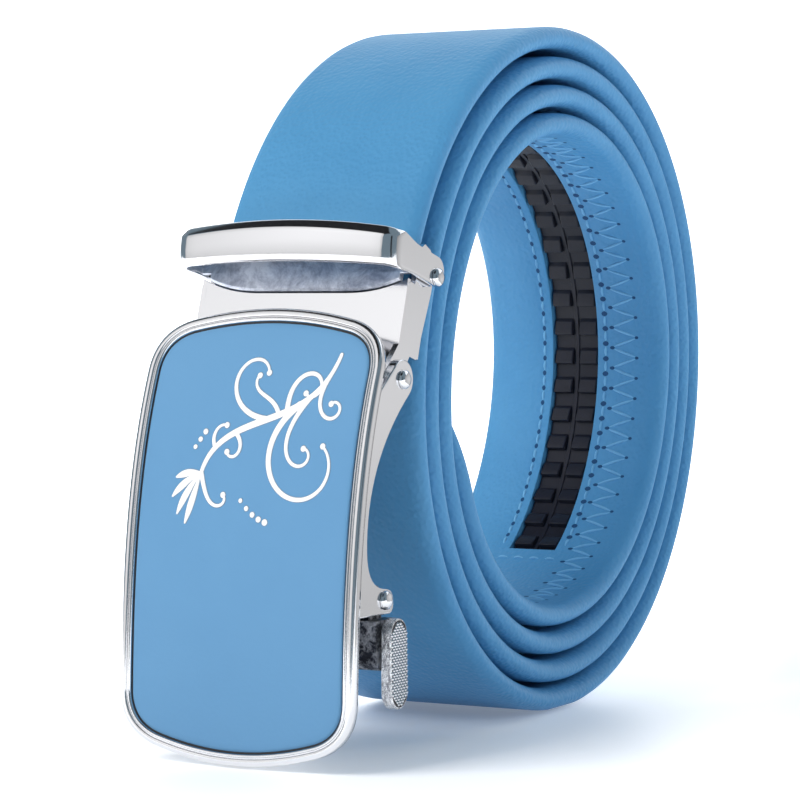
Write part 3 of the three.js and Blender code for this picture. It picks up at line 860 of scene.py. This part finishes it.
def plate_outline(inset):
    """The plate's outline from the front, moved in by an inset, as X and Z."""
    half = PLATE_WIDTH / 2 - inset
    corner = PLATE_CORNER - PLATE_CORNER_SHRINK * inset
    run = half - corner

    def foot(x):
        return inset + PLATE_BOTTOM_RISE * (2 * x / PLATE_WIDTH) ** 2

    def top(x):
        return PLATE_HEIGHT - inset - PLATE_TOP_FALL * (2 * x / PLATE_WIDTH) ** 2

    low, high = foot(half) + corner, top(half) - corner
    shares = [i / PLATE_EDGE_STEPS for i in range(PLATE_EDGE_STEPS)]
    across = [-run + 2 * run * share for share in shares]
    rise = [low + (high - low) * share for share in shares]
    fall = [high + (low - high) * share for share in shares]
    steps = PLATE_CORNER_STEPS
    return (
        [(x, foot(x)) for x in across] + curve((run, foot(run)), (half, foot(half)), (half, low), steps)
        + [(half, z) for z in rise] + curve((half, high), (half, top(half)), (run, top(run)), steps)
        + [(-x, top(-x)) for x in across] + curve((-run, top(run)), (-half, top(half)), (-half, high), steps)
        + [(-half, z) for z in fall] + curve((-half, low), (-half, foot(half)), (-run, foot(run)), steps))


def rim_rings():
    """The rim's section at each place of the outline, with the first once more to close the rim."""
    outlines = [plate_outline(inset) for inset, _ in RIM_SECTION]
    rings = []
    for places in zip(*outlines):
        rings.append([plate_place(*place, depth) for place, (_, depth) in zip(places, RIM_SECTION)])
    return rings + rings[:1]


PANEL_SHARES = (1.0, 0.995, 0.985, 0.96, *(0.92 * (1 - i / 22) for i in range(22)))
PANEL_SINK = (1, 0.5, 0.15)


def plate_panel(name, body, material, inset, front, back, crown):
    """A bent panel inside an outline, from one depth to another, crowned a little at its edge."""
    points, faces = [], []
    outline = plate_outline(inset)
    middle = PLATE_HEIGHT / 2
    count = len(outline)
    sinks = [crown * share for share in PANEL_SINK] + [0] * (len(PANEL_SHARES) - len(PANEL_SINK))
    for depth, crowned in ((front, 1), (back, 0)):
        for share, sink in zip(PANEL_SHARES, sinks):
            for x, z in outline:
                points.append(plate_place(x * share, middle + (z - middle) * share, depth + crowned * sink))
        points.append(plate_place(0, middle, depth))
    layer_size = count * len(PANEL_SHARES) + 1
    for layer in (0, 1):
        base = layer * layer_size
        for k in range(len(PANEL_SHARES) - 1):
            for i in range(count):
                a, b = base + k * count + i, base + k * count + (i + 1) % count
                faces.append((a, b, b + count, a + count))
        last = base + (len(PANEL_SHARES) - 1) * count
        for i in range(count):
            faces.append((last + i, last + (i + 1) % count, base + layer_size - 1))
    for i in range(count):
        j = (i + 1) % count
        faces.append((i, j, layer_size + j, layer_size + i))
    return place_mesh(name, (points, faces), body, material)


rim = place_mesh(
    "plate_rim", joined_rings(rim_rings(), capped=False), "buckle_plate", bright, sharp=50)
# The back sheet's front is near-black: painted shade for the groove between the rim and the inlay.
groove_shade_sheet = plain_material("inlay_bed", (0.02, 0.022, 0.026), 0.5)
back_sheet = plate_panel("plate_back", "buckle_plate", groove_shade_sheet,
                         inset=1.0, front=0.6, back=PLATE_THICKNESS, crown=0)
# Its back is bright, and the rest of it is near-black, painted shade for the narrow groove round the inlay.
back_sheet.data.materials.append(bright)
for face in back_sheet.data.polygons:
    face.material_index = 1 if face.normal.y > 0.2 else 0

EAR_OUTER = 20.8
EAR_INNER = 19.3
EAR_TUCK = 0.9
EAR_SHOULDER_Z = 55.5
EAR_HINGE_RADIUS = 3
EAR_ARC_FROM = 0.75 * pi
EAR_ARC_TURN = 1.05 * pi
EAR_ARC_STEPS = 18
EAR_LEVER_REACH = 2.6
EAR_FOOT_Z = 22.7
WAIST_BEHIND_FOOT = 5.4
WAIST_Z = 32.4
WAIST_CONTROL_Z = 45.4
HINGE = centre_of("hinge_pin")
LEVER = centre_of("lever_pin")


def ear_outline():
    """Side view of an ear: round the hinge pin, in to a waist, out round the lever pin, cut flat.

    The places that its curves pull towards are offsets from the pins."""
    hy, hz = HINGE
    ly, lz = LEVER
    waist = PLATE_FOOT + WAIST_BEHIND_FOOT
    reach = ly + EAR_LEVER_REACH
    start = plate_place(0, EAR_SHOULDER_Z, EAR_TUCK)[1:]
    points = curve(start, (hy - 4.2, hz + 0.4), (hy - 2.1, hz + 2.1), 6)
    for i in range(EAR_ARC_STEPS):
        angle = EAR_ARC_FROM - EAR_ARC_TURN * i / EAR_ARC_STEPS
        points.append((hy + EAR_HINGE_RADIUS * cos(angle), hz + EAR_HINGE_RADIUS * sin(angle)))
    last = EAR_ARC_FROM - EAR_ARC_TURN
    after = (hy + EAR_HINGE_RADIUS * cos(last), hz + EAR_HINGE_RADIUS * sin(last))
    points += curve(after, (waist, WAIST_CONTROL_Z), (waist, WAIST_Z), 16)
    points += curve((waist, WAIST_Z), (waist, lz + 2.1), (ly + 0.4, lz + 1.7))
    points += curve((ly + 0.4, lz + 1.7), (reach, lz + 1.5), (reach, lz - 0.4), 6)
    points += curve((reach, lz - 0.4), (reach, EAR_FOOT_Z), (ly + 0.9, EAR_FOOT_Z), 6)
    for z in range(ceil(EAR_FOOT_Z), ceil(EAR_SHOULDER_Z), 3):
        points.append(plate_place(0, z, EAR_TUCK)[1:])
    return points


for side, x0, x1 in (("left", -EAR_OUTER, -EAR_INNER), ("right", EAR_INNER, EAR_OUTER)):
    side_prism("plate_ear_" + side, ear_outline(), x0, x1, "buckle_plate", bright, 0.22)
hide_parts("plate_frame")

# The inlay: thin sky-blue leather glued inside the rim, with a scroll flourish in white enamel.
# The flourish is built from spirals and bowed strokes that swell and taper like a pen's.
# A fine grey outline of the same strokes, a little wider, lies just under the enamel.
STROKE_SECTION = ((-1, 0.32), (-0.8, 0.2), (0, 0.15), (0.8, 0.2), (1, 0.32))
DOT_SIDES = 14
DOT_RINGS = ((1, 0.32), (0.8, 0.18))
STROKE_STEPS = 60
TENDRIL_END = 0.45
TENDRIL_DOT = 0.52
OUTLINE_GROW = 0.1
STEM = ((-8.0, 43.6), (-5.4, 54.0), (10.6, 49.0), (13.6, 61.4))
# Share of the stem, turn from it, length, first and last bend, how late it closes, and pen width.
TENDRILS = (
    (0.50, 158, 18.0, (-5, -26), 1.3, 1.0),
    (0.16, 75, 4.8, (-14, -42), 1.0, 0.75),
    (0.58, 90, 8.2, (14, -64), 2.5, 0.85),
    (0.62, 72, 14.0, (-4, -46), 1.2, 1.0),
    (0.30, -62, 6.0, (-15, -68), 1.5, 0.8),
    (0.70, -176, 30.0, (3.6, 14.0), 0.8, 1.25),
    (0.77, -170, 16.5, (3, 58), 2.6, 0.95),
    (0.90, -178, 12.0, (4, 66), 1.6, 0.85),
    (0.0, -145, 8.8, (0, 80), 2.4, 0.9),
)
# Turn from the stem's foot, length and bend.
LEAVES = ((100, 4.6, 7), (128, 6.2, 5), (154, 7.4, 3), (180, 8.0, 0))
# Count, first X and Z, steps of X and Z, how fast the row levels out, and the growth of the dots.
DOT_ROWS = ((5, -0.4, 39.6, 1.15, -1.25, 0.12, 0.04), (3, -9.6, 47.4, 0.75, 1.15, 0, 0.05))
FIRST_DOT = 0.4


def add_stroke(points, faces, path, width, grow):
    """Adds a raised stroke along (x, z) places, with a width at each share of its length."""
    first = len(points)
    count = len(path)
    for i, (x, z) in enumerate(path):
        before, after = path[max(0, i - 1)], path[min(count - 1, i + 1)]
        dx, dz = unit((after[0] - before[0], after[1] - before[1]))
        half = width(i / (count - 1)) / 2 + grow
        for across, depth in STROKE_SECTION:
            points.append(plate_place(x - dz * half * across, z + dx * half * across, depth + 0.5 * grow))
    wide = len(STROKE_SECTION)
    for i in range(count - 1):
        for a in range(first + i * wide, first + (i + 1) * wide - 1):
            faces.append((a, a + 1, a + 1 + wide, a + wide))


def add_dot(points, faces, x, z, radius, grow):
    first = len(points)
    for share, depth in DOT_RINGS:
        ring = share * (radius + grow)
        for angle in [2 * pi * i / DOT_SIDES for i in range(DOT_SIDES)]:
            place = (x + ring * cos(angle), z + ring * sin(angle))
            points.append(plate_place(*place, depth + 0.5 * grow))
    for i in range(DOT_SIDES):
        j = (i + 1) % DOT_SIDES
        faces.append((first + i, first + j, first + DOT_SIDES + j, first + DOT_SIDES + i))
    faces.append(tuple(range(first + DOT_SIDES, first + 2 * DOT_SIDES)))


def tendril(stem, share, turn, length, bends, power=1.0):
    """A curve that leaves the stem; its bend, in degrees a millimetre, changes on the way."""
    index = min(len(stem) - 2, int(share * (len(stem) - 1)))
    x, z = stem[index]
    heading = atan2(stem[index + 1][1] - z, stem[index + 1][0] - x) + radians(turn)
    step = length / STROKE_STEPS
    made = [(x, z)]
    for i in range(STROKE_STEPS):
        bend = bends[0] + (bends[1] - bends[0]) * ((i + 0.5) / STROKE_STEPS) ** power
        heading += radians(bend) * step
        x += step * cos(heading)
        z += step * sin(heading)
        made.append((x, z))
    return made


def stem_width(share):
    return 0.5 + 0.65 * sin(pi * min(1, 0.12 + 0.8 * share))


def leaf_width(share):
    return 0.25 + sin(pi * share ** 1.3) ** 0.9


def flourish(grow):
    points, faces = [], []
    stem = [bezier(STEM, i / STROKE_STEPS) for i in range(STROKE_STEPS + 1)]
    add_stroke(points, faces, stem, stem_width, grow)
    add_dot(points, faces, *stem[-1], 0.3, grow)
    for share, turn, length, bends, power, pen in TENDRILS:
        path = tendril(stem, share, turn, length, bends, power)
        add_stroke(points, faces, path, lambda way: pen + (TENDRIL_END - pen) * way, grow)
        add_dot(points, faces, *path[-1], TENDRIL_DOT, grow)
    for turn, length, bend in LEAVES:
        add_stroke(points, faces, tendril(stem, 0.0, turn, length, (bend, bend)), leaf_width, grow)
    for count, x, z, step_x, step_z, level, growth in DOT_ROWS:
        for i in range(count):
            place = (x + step_x * i, z + step_z * i + level * i * i)
            add_dot(points, faces, *place, FIRST_DOT + growth * i, grow)
    return points, faces


inlay_leather = leather_material(
    "inlay_leather", (0.11, 0.27, 0.472), (0.117, 0.282, 0.486), roughness=0.5, bump=0.05, pebbles=1400.0)
inlay = plate_panel("inlay_panel", "buckle_plate", inlay_leather,
                    inset=2.22, front=0.3, back=0.62, crown=0.22)
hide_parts("plate_inlay")
enamel = plain_material("white_enamel", (0.88, 0.88, 0.9), 0.35)
place_mesh("inlay_scroll", flourish(0.0), "buckle_plate", enamel, sharp=60)
scroll_edge = plain_material("scroll_edge", (0.17, 0.24, 0.32), 0.5)
place_mesh("scroll_outline", flourish(OUTLINE_GROW), "buckle_plate", scroll_edge, sharp=60)

# The release lever: a thumb tab outside the plate's edge, on the dark cast pawl.
# The pawl turns on the lever pin between the ears, and the tab's outer face is knurled.
LEVER_MIDDLE = -65.15 + REST_SHIFT
LEVER_FOOT = 8.7
LEVER_TOP = 22.3
LEVER_HALF = 2.45
LEVER_INNER_X = 21.1
LEVER_OUTER_X = 22.9
LEVER_FLOOR_INSET = 0.3
KNURL_PITCH = 0.8
KNURL_HALF = 0.46 * KNURL_PITCH
KNURL_FOOT_X = 22.88
KNURL_TIP_X = 23.22
KNURL_EDGE = 0.42


def tab_outline(inset=0.0, steps=16):
    half = LEVER_HALF - inset
    outline = []
    for centre_z, start in ((LEVER_FOOT + LEVER_HALF, pi), (LEVER_TOP - LEVER_HALF, 0)):
        for i in range(steps + 1):
            angle = start + pi * i / steps
            outline.append((LEVER_MIDDLE + half * cos(angle), centre_z + half * sin(angle)))
    return outline


def knurl():
    """Small pyramids in crossed rows over the tab's outer face, kept clear of its edge."""
    points, faces = [], []
    middle = (LEVER_FOOT + LEVER_TOP) / 2
    straight = (LEVER_TOP - LEVER_FOOT) / 2 - LEVER_HALF
    rows = ceil((LEVER_TOP - LEVER_FOOT) / KNURL_PITCH)
    columns = ceil(LEVER_HALF / KNURL_PITCH)
    for row in range(-rows, rows + 1):
        for column in range(-columns, columns + 1):
            y = LEVER_MIDDLE + (column + 0.5 * (row % 2)) * KNURL_PITCH
            z = middle + row * KNURL_PITCH / 2
            reach = max(0, abs(z - middle) - straight)
            if hypot(y - LEVER_MIDDLE, reach) > LEVER_HALF - KNURL_EDGE:
                continue
            first = len(points)
            for dy, dz in ((-KNURL_HALF, 0), (0, -KNURL_HALF), (KNURL_HALF, 0), (0, KNURL_HALF)):
                points.append((KNURL_FOOT_X, y + dy, z + dz))
            points.append((KNURL_TIP_X, y, z))
            faces += [(first + i, first + (i + 1) % 4, first + 4) for i in range(4)]
    return points, faces


def tab_floor():
    """Near-black ground between the pyramids, a hair in front of the tab's face: painted shade for the
    knurl's grooves.
    """
    points = [(LEVER_OUTER_X + 0.01, y, z) for y, z in tab_outline(LEVER_FLOOR_INSET)]
    return points, [tuple(range(len(points)))]


cast = speckled_metal(
    "cast_metal", 0.28, (0.45, (0.03, 0.033, 0.045), 0.62, (0.42, 0.43, 0.47)),
    grain=(650.0, 650.0, 650.0), detail=5.0, fine_share=0.7, strength=1.0, distance=0.0006)
dress("ratchet_pawl", cast, 0.25)
rivet("lever_rivets", EAR_REACH, LEVER, "buckle_plate", "lever_pin")
lever_side = speckled_metal(
    "lever_side", 0.22, (0.36, (0.28, 0.28, 0.31), 0.55, (0.86, 0.86, 0.88)),
    grain=(1500.0, 1500.0, 700.0), detail=4.0, fine_share=0.7, strength=0.8, distance=0.0004)
tab = side_prism("lever_tab", tab_outline(), LEVER_INNER_X, LEVER_OUTER_X, "lever",
                 lever_side, 0.25)
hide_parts("release_lever")
# The ground between the knurl's pyramids is near-black: painted shade for its grooves.
knurl_shade = plain_material("lever_face", (0.04, 0.04, 0.045), 0.5, 1.0)
place_mesh("lever_face", tab_floor(), "lever", knurl_shade)
place_mesh("lever_knurl", knurl(), "lever", bright, sharp=10)

# The floor, the lights and the camera stand round the belt and aren't part of it.
# A white sweep carries the belt; dark cards beside it give the plated metal its dark edges.
# From here on, lengths are metres.
BELT_MIDDLE = (0, -0.06, 0.05)
FLOOR_Z = -0.0003
SWEEP_FRONT = -0.4
SWEEP_BEND_FROM = 1.2
SWEEP_BEND_RADIUS = 0.6
SWEEP_TOP = 3.0
SWEEP_HALF = 3.5


def sweep_mesh():
    """The floor runs back and bends up into the wall, so that no edge shows behind the belt."""
    profile = [(SWEEP_FRONT, FLOOR_Z), (SWEEP_BEND_FROM, FLOOR_Z)]
    for angle in [radians(degrees) for degrees in range(6, 91, 6)]:
        profile.append((SWEEP_BEND_FROM + SWEEP_BEND_RADIUS * sin(angle),
                        SWEEP_BEND_RADIUS - SWEEP_BEND_RADIUS * cos(angle)))
    profile.append((SWEEP_BEND_FROM + SWEEP_BEND_RADIUS, SWEEP_TOP))
    mesh = bpy.data.meshes.new("sweep")
    points = [(x, y, z) for y, z in profile for x in (-SWEEP_HALF, SWEEP_HALF)]
    mesh.from_pydata(points, [], [(2 * i, 2 * i + 1, 2 * i + 3, 2 * i + 2) for i in range(len(profile) - 1)])
    mesh.shade_smooth()
    return mesh


def add_glow(tree, shader, scale, location, **strengths):
    """Makes a material glow by a strength that changes away from a place on its piece."""
    place = tree.nodes.new("ShaderNodeTexCoord")
    around = node(tree, "ShaderNodeMapping", Location=location, Scale=(scale, scale, scale))
    nearness = node(tree, "ShaderNodeTexGradient", gradient_type="SPHERICAL")
    strength = node(tree, "ShaderNodeMapRange", **strengths)
    link(tree, place, "Object", around, "Vector")
    link(tree, around, "Vector", nearness, "Vector")
    link(tree, nearness, "Fac", strength, "Value")
    link(tree, strength, "Result", shader, "Emission Strength")
    fill(shader, Emission_Color=(1, 1, 1, 1))


# The sweep glows, faintly round the belt and brightly away from it: painted light that keeps the floor white
# while the belt's shadow still shows.
sweep_white, sweep_tree, sweep_shader = new_material("sweep_white", 0.4)
fill(sweep_shader, Base_Color=(0.93, 0.95, 0.98, 1))
add_glow(sweep_tree, sweep_shader, 4.0, (0.0, 0.15, 0.0), From_Max=1.0, To_Min=0.95, To_Max=0.04)
sweep = bpy.data.objects.new("sweep", sweep_mesh())
bpy.context.scene.collection.objects.link(sweep)
sweep.data.materials.append(sweep_white)

world = bpy.data.worlds.new("studio")
bpy.context.scene.world = world
world.use_nodes = True
fill(world.node_tree.nodes["Background"], Color=(0.62, 0.84, 1.0, 1), Strength=0.3)


def aimed(centre, axis):
    """The rotation that turns an axis of something at a place towards the belt."""
    return (Vector(BELT_MIDDLE) - Vector(centre)).to_track_quat(axis, "Y").to_euler()


def card(name, centre, size, glow=0.0):
    """A black or glowing card that only the metal and the leather's gloss see."""
    material, tree, shader = new_material(name, 1.0)
    fill(shader, Base_Color=(0.003, 0.003, 0.004, 1))
    if glow:
        add_glow(tree, shader, 1.4, (0.0, 0.0, 0.0), From_Max=0.95, To_Min=0.3 * glow, To_Max=glow)
    bpy.ops.mesh.primitive_plane_add(size=1.0, location=centre)
    made = bpy.context.object
    made.name = name
    made.scale = (size[0], size[1], 1)
    made.rotation_euler = aimed(centre, "Z")
    made.data.materials.append(material)
    made.visible_camera = False
    made.visible_shadow = False
    made.visible_diffuse = False


card("dark_card_left", (-0.62, 0.38, 0.15), (0.16, 0.9))
card("dark_card_right", (0.62, -0.42, 0.1), (0.12, 0.7))
card("dark_card_top", (-0.12, -0.2, 0.75), (1.1, 0.55))
card("white_card_front", (-0.62, -1.1, 0.66), (1.3, 2.5), 1.25)
card("pale_card_back", (0.1, 0.06, 0.05), (0.3, 0.16), 0.8)


def lamp(name, centre, size, power, color):
    """A square lamp turned to the belt, which the metal doesn't mirror."""
    light = bpy.data.lights.new(name, "AREA")
    light.energy = power
    light.color = color
    light.size = size
    made = bpy.data.objects.new(name, light)
    made.location = centre
    made.rotation_euler = aimed(centre, "-Z")
    made.visible_glossy = False
    bpy.context.scene.collection.objects.link(made)


lamp("key", (-0.35, -0.7, 0.75), 0.6, 10.2, (1.0, 0.93, 0.86))
lamp("side", (0.9, -0.2, 0.45), 0.5, 1.5, (1.0, 1.0, 1.0))

CAMERA_PLACE = (0.26602, -0.47124, 0.07927)
AZIMUTH = radians(30.748)
ELEVATION = radians(2.969)
ROLL = radians(-0.7455)
camera_data = bpy.data.cameras.new("camera")
camera_data.lens = 144.86
camera_data.sensor_width = 36.0
camera_data.sensor_fit = "HORIZONTAL"
camera = bpy.data.objects.new("camera", camera_data)
bpy.context.scene.collection.objects.link(camera)
forward = Vector((-sin(AZIMUTH) * cos(ELEVATION), cos(AZIMUTH) * cos(ELEVATION),
                  -sin(ELEVATION)))
right = Vector((cos(AZIMUTH), sin(AZIMUTH), 0))
over = right.cross(forward)
right_rolled = right * cos(ROLL) + over * sin(ROLL)
over_rolled = over * cos(ROLL) - right * sin(ROLL)
axes = (right_rolled, over_rolled, -forward)
rows = [[axes[column][row] for column in range(3)] + [CAMERA_PLACE[row]] for row in range(3)]
camera.matrix_world = Matrix(rows + [[0, 0, 0, 1]])
bpy.context.scene.camera = camera
bpy.context.scene.view_settings.view_transform = "Standard"
